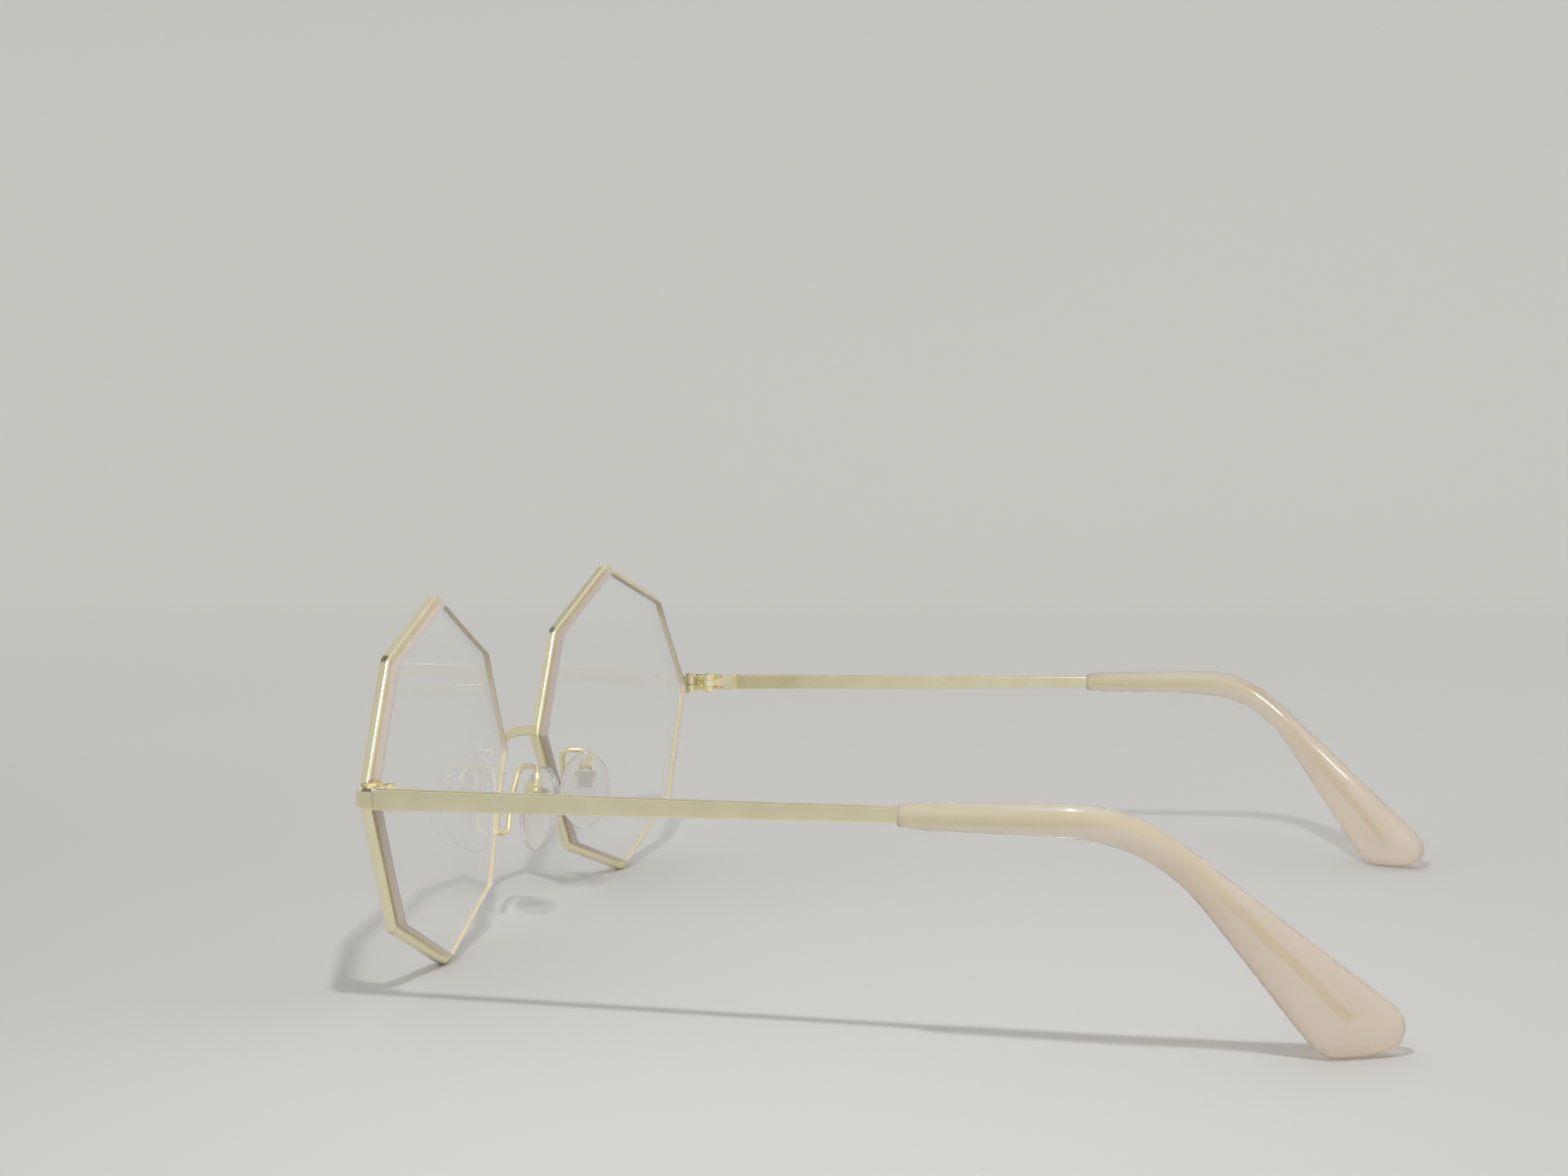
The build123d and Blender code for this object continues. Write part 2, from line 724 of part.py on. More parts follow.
pivot_place = pad_frame.from_local_coords(pivot)
print("length", back_end - front_end)
print("left temple hinge", to_rest.position + hinge_place)
print("left pad pivot", to_rest.position + pivot_place, "axis", -pad_frame.x_dir)
print("lens centre", to_rest.position + lens_centre)
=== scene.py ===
import bpy
import bmesh
import json
from math import asin, cos, pi, radians, sin, sqrt, tan
from mathutils import Matrix, Vector


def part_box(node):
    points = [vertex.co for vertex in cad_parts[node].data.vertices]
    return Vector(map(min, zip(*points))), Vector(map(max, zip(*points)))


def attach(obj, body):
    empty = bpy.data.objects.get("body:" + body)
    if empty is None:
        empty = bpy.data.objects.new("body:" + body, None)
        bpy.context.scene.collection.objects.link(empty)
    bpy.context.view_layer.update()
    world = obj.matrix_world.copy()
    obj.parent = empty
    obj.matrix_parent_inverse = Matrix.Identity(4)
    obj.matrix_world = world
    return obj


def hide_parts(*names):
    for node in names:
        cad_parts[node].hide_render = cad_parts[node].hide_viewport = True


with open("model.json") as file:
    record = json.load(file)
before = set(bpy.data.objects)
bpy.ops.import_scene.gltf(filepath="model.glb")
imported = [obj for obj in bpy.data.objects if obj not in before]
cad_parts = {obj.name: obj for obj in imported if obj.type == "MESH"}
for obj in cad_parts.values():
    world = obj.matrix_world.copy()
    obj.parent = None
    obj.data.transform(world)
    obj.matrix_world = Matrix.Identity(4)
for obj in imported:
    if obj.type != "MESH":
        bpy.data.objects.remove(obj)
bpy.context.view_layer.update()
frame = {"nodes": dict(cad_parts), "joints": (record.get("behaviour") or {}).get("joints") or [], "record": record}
print("frame loaded:", len(frame["nodes"]), "nodes")

mm = 0.001
scene = bpy.context.scene
scene.view_settings.view_transform = "Standard"


def linearColour(hexText, alpha=1.0):
    # sRGB hex to the linear values that shaders take
    parts = [int(hexText[place:place + 2], 16) / 255 for place in (1, 3, 5)]
    linear = [part / 12.92 if part <= 0.04045 else ((part + 0.055) / 1.055) ** 2.4 for part in parts]
    return (*linear, alpha)


def addNode(tree, kind, settings=None, inputs=None):
    # one node with its own settings; each input is a value, or (node, output) to link from
    node = tree.nodes.new(kind)
    for name, value in (settings or {}).items():
        setattr(node, name, value)
    for name, value in (inputs or {}).items():
        if isinstance(value, tuple) and isinstance(value[0], bpy.types.Node):
            tree.links.new(value[0].outputs[value[1]], node.inputs[name])
        else:
            node.inputs[name].default_value = value
    return node


def newMaterial(name):
    material = bpy.data.materials.new(name)
    material.use_nodes = True
    tree = material.node_tree
    tree.nodes.clear()
    return material, tree


def setRamp(node, stops):
    # (place, grey or colour) for each stop of a colour ramp
    ramp = node.color_ramp
    while len(ramp.elements) < len(stops):
        ramp.elements.new(0.5)
    for element, (place, value) in zip(ramp.elements, stops):
        element.position = place
        element.color = value if isinstance(value, tuple) else (value, value, value, 1)


def twoTones(colours, low=0.3, high=0.7):
    # ramp stops that run from the first colour to the second over the middle of a noise
    return [(low, linearColour(colours[0])), (high, linearColour(colours[1]))]


# Camera, at the photograph's angle
cameraView = {
    "place": (320.93, 77.28, 75.78),  # mm, in the part's frame
    "turn": 17.361,    # degrees from straight along -X towards -Y
    "down": 4.076,
    "roll": -1.706,
    "focal": 50.59,    # mm
    "sensor": 36,      # mm wide
}


def placeCamera():
    turn, down, roll = [radians(cameraView[name]) for name in ("turn", "down", "roll")]
    look = Vector((-cos(turn) * cos(down), -sin(turn) * cos(down), -sin(down)))
    data = bpy.data.cameras.new("photoCamera")
    data.sensor_fit = "HORIZONTAL"
    data.sensor_width = cameraView["sensor"]
    data.lens = cameraView["focal"]
    data.clip_start = 0.01
    camera = bpy.data.objects.new("photoCamera", data)
    scene.collection.objects.link(camera)
    turned = look.to_track_quat("-Z", "Y").to_matrix() @ Matrix.Rotation(roll, 3, "Z")
    camera.matrix_world = Matrix.Translation(Vector(cameraView["place"]) * mm) @ turned.to_4x4()
    scene.camera = camera


placeCamera()
print("camera placed")

# Paper sweep and light
studio = {
    "paper": "#C2C1BF",
    # the far and the high part get less light, so the sheet is paler there: (share of the way, colour)
    "paperFar": [(0.3, "#D6D5D3"), (0.8, "#E0DFDC"), (1.0, "#E6E5E2")],
    "paleFromMm": 60,
    "paleToMm": -600,
    "paleHighMm": 330,
    "farShare": 0.8,            # how much of that is distance, and how much height
    "highShare": 0.2,
    "toothMm": 0.9,
    "cloudMm": 160,
    "cloudShare": 0.04,
    "reachMm": 1500,            # paper to each side and in front
    "behindMm": 560,            # where the paper starts to rise
    "riseRadiusMm": 380,
    "heightMm": 460,
    "lampPlaceMm": (152, 18, 215),
    "lampSizeMm": 12,
    "lampWatts": 0.25,
    "sky": "#F6F6F4",
    "skyStrength": 0.84,
    # what polished metal mirrors: a pale room that darkens towards one unlit corner
    "darkSide": (0.0, -0.45, 0.89),
    "room": [(0.0, 0.78), (0.5, 0.68), (0.78, 0.59), (0.88, 0.46), (0.95, 0.15)],
}


def seamlessPaper():
    # uncoated card: soft, no gloss, faint tooth
    material, tree = newMaterial("mattSeamlessPaper")
    place = addNode(tree, "ShaderNodeTexCoord")
    tooth = addNode(tree, "ShaderNodeTexNoise", {}, {
        "Vector": (place, "Object"), "Scale": 1 / (studio["toothMm"] * mm), "Detail": 3.0})
    cloud = addNode(tree, "ShaderNodeTexNoise", {}, {
        "Vector": (place, "Object"), "Scale": 1 / (studio["cloudMm"] * mm), "Detail": 2.0})
    split = addNode(tree, "ShaderNodeSeparateXYZ", {}, {"Vector": (place, "Object")})
    far = addNode(tree, "ShaderNodeMapRange", {}, {
        "Value": (split, "X"), "From Min": studio["paleFromMm"] * mm,
        "From Max": studio["paleToMm"] * mm, "To Max": studio["farShare"]})
    high = addNode(tree, "ShaderNodeMapRange", {}, {
        "Value": (split, "Z"), "From Max": studio["paleHighMm"] * mm, "To Max": studio["highShare"]})
    away = addNode(tree, "ShaderNodeMath", {}, {0: (far, "Result"), 1: (high, "Result")})
    patchy = addNode(tree, "ShaderNodeMath", {"operation": "MULTIPLY_ADD"}, {
        0: (cloud, "Fac"), 1: studio["cloudShare"], 2: (away, "Value")})
    tone = addNode(tree, "ShaderNodeValToRGB", {}, {"Fac": (patchy, "Value")})
    paler = [(0.0, studio["paper"])] + studio["paperFar"]
    setRamp(tone, [(at, linearColour(paint)) for at, paint in paler])
    bump = addNode(tree, "ShaderNodeBump", {}, {
        "Height": (tooth, "Fac"), "Strength": 0.12, "Distance": 0.05 * mm})
    shade = addNode(tree, "ShaderNodeBsdfPrincipled", {}, {
        "Base Color": (tone, "Color"), "Roughness": 0.9, "Specular IOR Level": 0.15,
        "Normal": (bump, "Normal")})
    addNode(tree, "ShaderNodeOutputMaterial", {}, {"Surface": (shade, "BSDF")})
    return material


def makePaper():
    reach, behind = studio["reachMm"] * mm, studio["behindMm"] * mm
    radius, height = studio["riseRadiusMm"] * mm, studio["heightMm"] * mm
    profile = [(reach, 0.0)]
    steps = 24
    for step in range(steps + 1):
        angle = pi / 2 * step / steps
        profile.append((-behind - radius * sin(angle), radius - radius * cos(angle)))
    profile.append((-behind - radius, height))
    mesh = bmesh.new()
    rows = [[mesh.verts.new((x, side * reach, z)) for x, z in profile] for side in (-1, 1)]
    for place in range(len(profile) - 1):
        face = mesh.faces.new((rows[0][place], rows[0][place + 1], rows[1][place + 1], rows[1][place]))
        face.smooth = True
    mesh.normal_update()
    data = bpy.data.meshes.new("paperSweep")
    mesh.to_mesh(data)
    mesh.free()
    paper = bpy.data.objects.new("paperSweep", data)
    scene.collection.objects.link(paper)
    data.materials.append(seamlessPaper())


def makeLamp():
    lamp = bpy.data.lights.new("softLamp", "AREA")
    lamp.shape = "DISK"
    lamp.size = studio["lampSizeMm"] * mm
    lamp.energy = studio["lampWatts"]
    lampObject = bpy.data.objects.new("softLamp", lamp)
    place = Vector(studio["lampPlaceMm"]) * mm
    lampObject.location = place
    lampObject.rotation_mode = "QUATERNION"
    lampObject.rotation_quaternion = (Vector((0, 0, 0)) - place).to_track_quat("-Z", "Y")
    scene.collection.objects.link(lampObject)


def makeRoom():
    world = bpy.data.worlds.new("studioWorld")
    scene.world = world
    world.use_nodes = True
    tree = world.node_tree
    tree.nodes.clear()
    fill = addNode(tree, "ShaderNodeBackground", {}, {
        "Color": linearColour(studio["sky"]), "Strength": studio["skyStrength"]})
    direction = addNode(tree, "ShaderNodeTexCoord")
    corner = addNode(tree, "ShaderNodeVectorMath", {"operation": "DOT_PRODUCT"}, {
        0: (direction, "Generated"), 1: Vector(studio["darkSide"]).normalized()})
    room = addNode(tree, "ShaderNodeValToRGB", {}, {"Fac": (corner, "Value")})
    setRamp(room, studio["room"])
    mirrored = addNode(tree, "ShaderNodeBackground", {}, {"Color": (room, "Color"), "Strength": 1.0})
    behind = addNode(tree, "ShaderNodeBackground", {}, {
        "Color": linearColour(studio["paper"]), "Strength": 1.0})
    path = addNode(tree, "ShaderNodeLightPath")
    gloss = addNode(tree, "ShaderNodeMixShader", {}, {
        0: (path, "Is Glossy Ray"), 1: (fill, "Background"), 2: (mirrored, "Background")})
    # the camera and clear plastic see plain paper
    seen = addNode(tree, "ShaderNodeMath", {"operation": "MAXIMUM"}, {
        0: (path, "Is Camera Ray"), 1: (path, "Is Transmission Ray")})
    both = addNode(tree, "ShaderNodeMixShader", {}, {
        0: (seen, "Value"), 1: (gloss, "Shader"), 2: (behind, "Background")})
    addNode(tree, "ShaderNodeOutputWorld", {}, {"Surface": (both, "Shader")})


makePaper()
makeLamp()
makeRoom()
print("paper and light made")

# Gold: a rougher finish stands for small fittings, whose many curves spread what they mirror
goldPlate = {
    "wire": ("#F8EFC9", "#FBF4D4", 0.19, 0.35),       # two tones, roughness, mm between buffing lines
    "fitting": ("#FAF0C6", "#FDF5D2", 0.42, 0.2),
    "screw": ("#DDD2AA", "#EFE7C8", 0.26, 0.1),
    "wearMm": 4.0,
    "polishDepthMm": 0.0016,
}


def platedGold(name, finish):
    # pale gold electroplate over polished wire: mirror-like, with faint buffing lines
    deep, light, roughness, line = goldPlate[finish]
    material, tree = newMaterial(name)
    place = addNode(tree, "ShaderNodeTexCoord")
    wear = addNode(tree, "ShaderNodeTexNoise", {}, {
        "Vector": (place, "Object"), "Scale": 1 / (goldPlate["wearMm"] * mm), "Detail": 4.0})
    tone = addNode(tree, "ShaderNodeValToRGB", {}, {"Fac": (wear, "Fac")})
    setRamp(tone, twoTones((deep, light), 0.35, 0.65))
    haze = addNode(tree, "ShaderNodeMapRange", {}, {
        "Value": (wear, "Fac"), "From Min": 0.3, "From Max": 0.7,
        "To Min": roughness * 0.8, "To Max": roughness * 1.3})
    buffing = addNode(tree, "ShaderNodeTexNoise", {}, {
        "Vector": (place, "Object"), "Scale": 1 / (line * mm), "Detail": 2.0})
    bump = addNode(tree, "ShaderNodeBump", {}, {
        "Height": (buffing, "Fac"), "Strength": 0.25, "Distance": goldPlate["polishDepthMm"] * mm})
    shade = addNode(tree, "ShaderNodeBsdfPrincipled", {}, {
        "Base Color": (tone, "Color"), "Metallic": 1.0, "Roughness": (haze, "Result"),
        "Normal": (bump, "Normal")})
    addNode(tree, "ShaderNodeOutputMaterial", {}, {"Surface": (shade, "BSDF")})
    return material


def letShadowThrough(tree, shade, tint):
    # clear plastic lets most light on to the table instead of a black shadow
    path = addNode(tree, "ShaderNodeLightPath")
    clear = addNode(tree, "ShaderNodeBsdfTransparent", {}, {"Color": linearColour(tint)})
    both = addNode(tree, "ShaderNodeMixShader", {}, {
        0: (path, "Is Shadow Ray"), 1: (shade, "BSDF"), 2: (clear, "BSDF")})
    addNode(tree, "ShaderNodeOutputMaterial", {}, {"Surface": (both, "Shader")})


# Lens plastic and the two looks of its ground edge
lensFinish = {
    "clear": "#FDFEFE",
    "gloss": 0.15,                        # the coat cuts its reflections
    "smearMm": 7,
    "smearRoughness": 0.06,
    "shadow": "#F4F4F2",
    "frosted": ("#D2C6C1", "#DFD4CF"),
    "frostedMm": 0.12,
    "frostedSeeThrough": 0.4,
    "frostedShadow": "#A8A4A0",
    # painted reflection: tones of the gold rim as seen through the lens, painted on the lens's held edge
    "paintedRim": ("#E8DBB4", "#F2E7C6"),
    "paintedRimMm": 0.3,
}


def coatedLensPlastic():
    # cast optical plastic with a hard coat: water-clear, glossy
    material, tree = newMaterial("castLensPlastic")
    place = addNode(tree, "ShaderNodeTexCoord")
    smear = addNode(tree, "ShaderNodeTexNoise", {}, {
        "Vector": (place, "Object"), "Scale": 1 / (lensFinish["smearMm"] * mm), "Detail": 4.0})
    haze = addNode(tree, "ShaderNodeMapRange", {}, {
        "Value": (smear, "Fac"), "From Min": 0.5, "From Max": 0.75,
        "To Min": 0.0, "To Max": lensFinish["smearRoughness"]})
    shade = addNode(tree, "ShaderNodeBsdfPrincipled", {}, {
        "Base Color": linearColour(lensFinish["clear"]), "Roughness": (haze, "Result"), "IOR": 1.5,
        "Transmission Weight": 1.0, "Specular IOR Level": lensFinish["gloss"]})
    letShadowThrough(tree, shade, lensFinish["shadow"])
    return material


def groundLensEdge():
    # the same plastic where the grinding wheel left it: frosted, pinkish grey against the clear faces
    material, tree = newMaterial("groundLensPlastic")
    place = addNode(tree, "ShaderNodeTexCoord")
    grit = addNode(tree, "ShaderNodeTexNoise", {}, {
        "Vector": (place, "Object"), "Scale": 1 / (lensFinish["frostedMm"] * mm), "Detail": 3.0})
    tone = addNode(tree, "ShaderNodeValToRGB", {}, {"Fac": (grit, "Fac")})
    setRamp(tone, twoTones(lensFinish["frosted"]))
    bump = addNode(tree, "ShaderNodeBump", {}, {
        "Height": (grit, "Fac"), "Strength": 0.4, "Distance": 0.01 * mm})
    shade = addNode(tree, "ShaderNodeBsdfPrincipled", {}, {
        "Base Color": (tone, "Color"), "Roughness": 0.6, "IOR": 1.5,
        "Transmission Weight": lensFinish["frostedSeeThrough"], "Normal": (bump, "Normal")})
    letShadowThrough(tree, shade, lensFinish["frostedShadow"])
    return material


def paintedRimThroughEdge():
    # painted reflection: the plated rim as it shows through the frosted edge it holds, painted on that edge as its
    # colour without its mirror
    material, tree = newMaterial("paintedRimThroughFrostedEdge")
    place = addNode(tree, "ShaderNodeTexCoord")
    grit = addNode(tree, "ShaderNodeTexNoise", {}, {
        "Vector": (place, "Object"), "Scale": 1 / (lensFinish["paintedRimMm"] * mm), "Detail": 2.0})
    tone = addNode(tree, "ShaderNodeValToRGB", {}, {"Fac": (grit, "Fac")})
    setRamp(tone, twoTones(lensFinish["paintedRim"]))
    shade = addNode(tree, "ShaderNodeBsdfPrincipled", {}, {
        "Base Color": (tone, "Color"), "Roughness": 0.7, "IOR": 1.5})
    addNode(tree, "ShaderNodeOutputMaterial", {}, {"Surface": (shade, "BSDF")})
    return material


# Sleeves: the thin front is clearer than the paddle
sleeveFinish = {
    "clearToMm": 28,                      # behind the middle of the glasses
    "milkyFromMm": 50,
    "clear": "#F5EDE1",
    "milky": ("#EFE3D5", "#F2E8DC"),
    "cloudMm": 9.0,
    "roughness": (0.35, 0.42),            # these three: at the clear front, in the milky paddle
    "seeThrough": (0.79, 0.62),
    "coat": (0.9, 0.12),
    "ior": 1.25,                          # below that of real acetate, for soft outlines
    "scatter": 0.8,
    "scatterRadius": (1.0, 0.85, 0.7),
    "scatterMm": 3,
    "shadow": "#9A8F84",
}


def milkyAcetate():
    # cellulose acetate, dyed cream and tumbled: glossy skin, cloudy body that shows the core as a soft line
    material, tree = newMaterial("tumbledMilkyAcetate")
    place = addNode(tree, "ShaderNodeTexCoord")
    split = addNode(tree, "ShaderNodeSeparateXYZ", {}, {"Vector": (place, "Object")})
    milk = addNode(tree, "ShaderNodeMapRange", {"interpolation_type": "SMOOTHSTEP"}, {
        "Value": (split, "Y"), "From Min": sleeveFinish["clearToMm"] * mm,
        "From Max": sleeveFinish["milkyFromMm"] * mm})
    cloud = addNode(tree, "ShaderNodeTexNoise", {}, {
        "Vector": (place, "Object"), "Scale": 1 / (sleeveFinish["cloudMm"] * mm), "Detail": 3.0})
    dye = addNode(tree, "ShaderNodeValToRGB", {}, {"Fac": (cloud, "Fac")})
    setRamp(dye, twoTones(sleeveFinish["milky"]))
    tone = addNode(tree, "ShaderNodeMixRGB", {}, {
        "Fac": (milk, "Result"), "Color1": linearColour(sleeveFinish["clear"]), "Color2": (dye, "Color")})
    haze, through, polish = [
        addNode(tree, "ShaderNodeMapRange", {}, {
            "Value": (milk, "Result"), "To Min": sleeveFinish[name][0], "To Max": sleeveFinish[name][1]})
        for name in ("roughness", "seeThrough", "coat")]
    shade = addNode(tree, "ShaderNodeBsdfPrincipled", {}, {
        "Base Color": (tone, "Color"), "Roughness": (haze, "Result"), "IOR": sleeveFinish["ior"],
        "Transmission Weight": (through, "Result"), "Subsurface Weight": sleeveFinish["scatter"],
        "Subsurface Radius": sleeveFinish["scatterRadius"],
        "Subsurface Scale": sleeveFinish["scatterMm"] * mm,
        "Coat Weight": (polish, "Result"), "Coat Roughness": 0.06})
    letShadowThrough(tree, shade, sleeveFinish["shadow"])
    return material


# Plastics of the nose pads
padFinish = {
    "silicone": "#F4F2F1",
    "siliconeRoughness": 0.15,
    "siliconeSeeThrough": 0.86,
    "rippleMm": 1.5,
    "shadow": "#D8D7D3",
    "insert": ("#CFCBC0", "#DDD9CF"),
    "insertGrainMm": 0.5,
}


def clearSilicone():
    # moulded silicone: water-clear with a soft gloss
    material, tree = newMaterial("mouldedClearSilicone")
    place = addNode(tree, "ShaderNodeTexCoord")
    ripple = addNode(tree, "ShaderNodeTexNoise", {}, {
        "Vector": (place, "Object"), "Scale": 1 / (padFinish["rippleMm"] * mm), "Detail": 2.0})
    bump = addNode(tree, "ShaderNodeBump", {}, {
        "Height": (ripple, "Fac"), "Strength": 0.2, "Distance": 0.02 * mm})
    shade = addNode(tree, "ShaderNodeBsdfPrincipled", {}, {
        "Base Color": linearColour(padFinish["silicone"]), "Roughness": padFinish["siliconeRoughness"],
        "IOR": 1.41, "Transmission Weight": padFinish["siliconeSeeThrough"], "Normal": (bump, "Normal")})
    letShadowThrough(tree, shade, padFinish["shadow"])
    return material


def mouldedInsert():
    # pale moulded nylon inside the pads: dull, even grain
    material, tree = newMaterial("mouldedPaleNylon")
    place = addNode(tree, "ShaderNodeTexCoord")
    grain = addNode(tree, "ShaderNodeTexNoise", {}, {
        "Vector": (place, "Object"), "Scale": 1 / (padFinish["insertGrainMm"] * mm), "Detail": 2.0})
    tone = addNode(tree, "ShaderNodeValToRGB", {}, {"Fac": (grain, "Fac")})
    setRamp(tone, twoTones(padFinish["insert"]))
    shade = addNode(tree, "ShaderNodeBsdfPrincipled", {}, {
        "Base Color": (tone, "Color"), "Roughness": 0.45, "IOR": 1.5})
    addNode(tree, "ShaderNodeOutputMaterial", {}, {"Surface": (shade, "BSDF")})
    return material


finishes = {
    "gold": platedGold("platedPaleGoldWire", "wire"),
    "gold_fitting": platedGold("platedPaleGoldFitting", "fitting"),
    "screw": platedGold("turnedGoldSteel", "screw"),
    "lens": coatedLensPlastic(),
    "acetate": milkyAcetate(),
    "silicone": clearSilicone(),
    "pad_insert": mouldedInsert(),
}
groundEdge = groundLensEdge()
# painted reflection of the gold rim, for the faces of the lens that the rim holds
paintedRimEdgeMaterial = paintedRimThroughEdge()


def roundedOutline(corners, radii, arcSteps, closed=False):
    # polygon with an arc at each corner: one list of points for each corner
    count = len(corners)
    pieces = []
    for index, corner in enumerate(corners):
        at = Vector(corner)
        if radii[index] <= 0 or (not closed and index in (0, count - 1)):
            pieces.append([at])
            continue
        before = (Vector(corners[index - 1]) - at).normalized()
        after = (Vector(corners[(index + 1) % count]) - at).normalized()
        half = before.angle(after) / 2
        centre = at + (before + after).normalized() * radii[index] / sin(half)
        first = at + before * radii[index] / tan(half) - centre
        last = at + after * radii[index] / tan(half) - centre
        sweep = first.angle(last)
        arc = []
        for step in range(arcSteps + 1):
            share = step / arcSteps
            point = (first * sin((1 - share) * sweep) + last * sin(share * sweep)) / sin(sweep)
            arc.append(centre + point)
        pieces.append(arc)
    return pieces


def spread(points, count):
    # count points at even spacing along a line, without its last point
    lengths = [0.0]
    for first, second in zip(points, points[1:]):
        lengths.append(lengths[-1] + (second - first).length)
    even = []
    for step in range(count):
        at = lengths[-1] * step / count
        index = max(place for place in range(len(points) - 1) if lengths[place] <= at + 1e-9)
        share = (at - lengths[index]) / (lengths[index + 1] - lengths[index])
        even.append(points[index].lerp(points[index + 1], share))
    return even


def eased(points, passes):
    # lets a bend start and end softly, as a hot sleeve does over its wire
    for step in range(passes):
        threes = zip(points, points[1:], points[2:])
        softer = [(before + at * 2 + after) / 4 for before, at, after in threes]
        points = [points[0]] + softer + [points[-1]]
    return points


def ringPiece(name, rings, material, body, replaced, sharp=()):
    # skin over a row of closed rings, closed by a fan at both ends; points in mm
    mesh = bmesh.new()
    rows = [[mesh.verts.new(point * mm) for point in ring] for ring in rings]
    for first, second in zip(rows, rows[1:]):
        for index in range(len(first)):
            after = (index + 1) % len(first)
            mesh.faces.new((first[index], first[after], second[after], second[index]))
    for row in (rows[0], rows[-1]):
        middle = mesh.verts.new(sum((vert.co for vert in row), Vector()) / len(row))
        for index in range(len(row)):
            mesh.faces.new((row[index], row[(index + 1) % len(row)], middle))
    bmesh.ops.recalc_face_normals(mesh, faces=mesh.faces)
    for face in mesh.faces:
        face.smooth = True
    for place in sharp:
        row = rows[place]
        for index in range(len(row)):
            mesh.edges.get((row[index], row[(index + 1) % len(row)])).smooth = False
    data = bpy.data.meshes.new(name)
    mesh.to_mesh(data)
    mesh.free()
    data.materials.append(material)
    piece = bpy.data.objects.new(name, data)
    scene.collection.objects.link(piece)
    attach(piece, body)
    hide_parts(replaced)
    return piece


def sideways(points, side):
    # the right half of the frame is the left half mirrored
    return [Vector((side * point.x, point.y, point.z)) for point in points]


sides = {"left": 1, "right": -1}
joints = {joint["name"]: joint for joint in frame["joints"]}
hingePlace = Vector(joints["left_temple_fold"]["pos_m"]) / mm
padPivot = Vector(joints["left_pad_rock"]["pos_m"]) / mm
rimLow, rimHigh = [Vector(corner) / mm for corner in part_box("left_rim")]
lensCentre = (rimLow + rimHigh) / 2

# Temple tips, mm; distances run back from the hinge, heights from the hinge's height
tipShape = {
    "splay": 1.84,             # degrees, temple turned outwards
    "middleOut": 2.2,          # middle of the tip outwards of the hinge
    "start": 70.0,
    "startHeight": 3.3,
    "bend": 99.3,
    "bendHeight": 4.5,
    "underBendSet": 0.5,       # lower edge turns down behind the middle line
    "topSlope": 42.2,          # degrees below level
    "underSlope": 56.5,
    "topBendRadius": 18.0,
    "underBendRadius": 17.5,
    "footLength": 7.0,
    "heelBack": 4.0,
    "heelHeight": 3.5,
    "heelRadius": 3.0,
    "footBackRadius": 6.0,
    "footFrontRadius": 3.2,
    "inward": 27.0,            # degrees, paddle turned in towards the head
    "inwardAhead": 1.8,
    "inwardRadius": 38.0,
    "startThickness": 2.7,
    "endThickness": 3.7,
    "edgeRound": 2.3,          # how far in from the outline the edge is rolled
    "edgeRoundMost": 0.46,     # and the most of the height that it may take
    "crown": 0.06,             # sides thinner at the edges than in the middle, by this share
    "frontRound": 0.25,
}
# rings along the tip: straight front, bend, paddle down to the foot, and round the foot
tipRings = {
    "front": 22,
    "bend": 18,
    "paddle": 22,
    "foot": 26,
    "paddleShare": 0.88,       # of the upper edge between bend and heel, to across from the foot's front
    "arcSteps": 24,
    "sideSteps": 14,           # of each ring's two sides
    "easing": 8,               # passes that soften the outline's bends, and then the sides
    "sideEasing": 6,
}


def tipRails():
    # upper and lower edge of the tip as (back, up), paired point by point, and the whole outline
    shape = tipShape
    drop = hingePlace.z
    half, startHalf = shape["bendHeight"] / 2, shape["startHeight"] / 2
    underBend = shape["bend"] + shape["underBendSet"]
    footFront = underBend + (drop - half) / tan(radians(shape["underSlope"]))
    footBack = footFront + shape["footLength"]
    reach = footBack + shape["heelBack"]
    heelDrop = drop - shape["heelHeight"]
    topBend = reach - (heelDrop + half) / tan(radians(shape["topSlope"]))
    corners = [(shape["start"], startHalf), (topBend, half), (reach, -heelDrop), (footBack, -drop),
               (footFront, -drop), (underBend, -half), (shape["start"], -startHalf)]
    radii = [0, shape["topBendRadius"], shape["heelRadius"], shape["footBackRadius"],
             shape["footFrontRadius"], shape["underBendRadius"], 0]
    arcs = roundedOutline(corners, radii, tipRings["arcSteps"])
    start, topArc, heel, footBackArc, footFrontArc, underArc, low = arcs
    underArc, footFrontArc, footBackArc = underArc[::-1], footFrontArc[::-1], footBackArc[::-1]
    end = (heel[-1] + footBackArc[-1]) / 2
    paddleEnd = topArc[-1].lerp(heel[0], tipRings["paddleShare"])
    front, bend, paddle, foot = [tipRings[name] for name in ("front", "bend", "paddle", "foot")]
    upper = (spread([start[0], topArc[0]], front) + spread(topArc, bend)
             + spread([topArc[-1], paddleEnd], paddle) + spread([paddleEnd] + heel + [end], foot))
    lower = (spread([low[0], underArc[0]], front) + spread(underArc, bend)
             + spread([underArc[-1], footFrontArc[0]], paddle)
             + spread(footFrontArc + footBackArc + [end], foot))
    upper, lower = eased(upper, tipRings["easing"]), eased(lower, tipRings["easing"])
    return upper, lower, upper + [end] + lower[::-1]


def tipMiddle(back):
    # sideways place and direction of the tip's middle surface, straight and then turned inwards
    turn = radians(tipShape["inward"])
    radius = tipShape["inwardRadius"]
    begin = tipShape["bend"] - tipShape["inwardAhead"] - radius * tan(turn / 2)
    angle = 0.0
    out = tipShape["middleOut"]
    if back > begin:
        reachArc = min(back - begin, radius * sin(turn))
        angle = asin(reachArc / radius)
        out -= radius * (1 - cos(angle)) + (back - begin - reachArc) * tan(turn)
    return out, angle


def outlineDistance(point, outline):
    # shortest distance to the outline's straight pieces
    best = 1e9
    for first, second in zip(outline, outline[1:]):
        along = second - first
        share = max(0.0, min(1.0, (point - first).dot(along) / along.length_squared))
        best = min(best, (point - first - along * share).length)
    return best


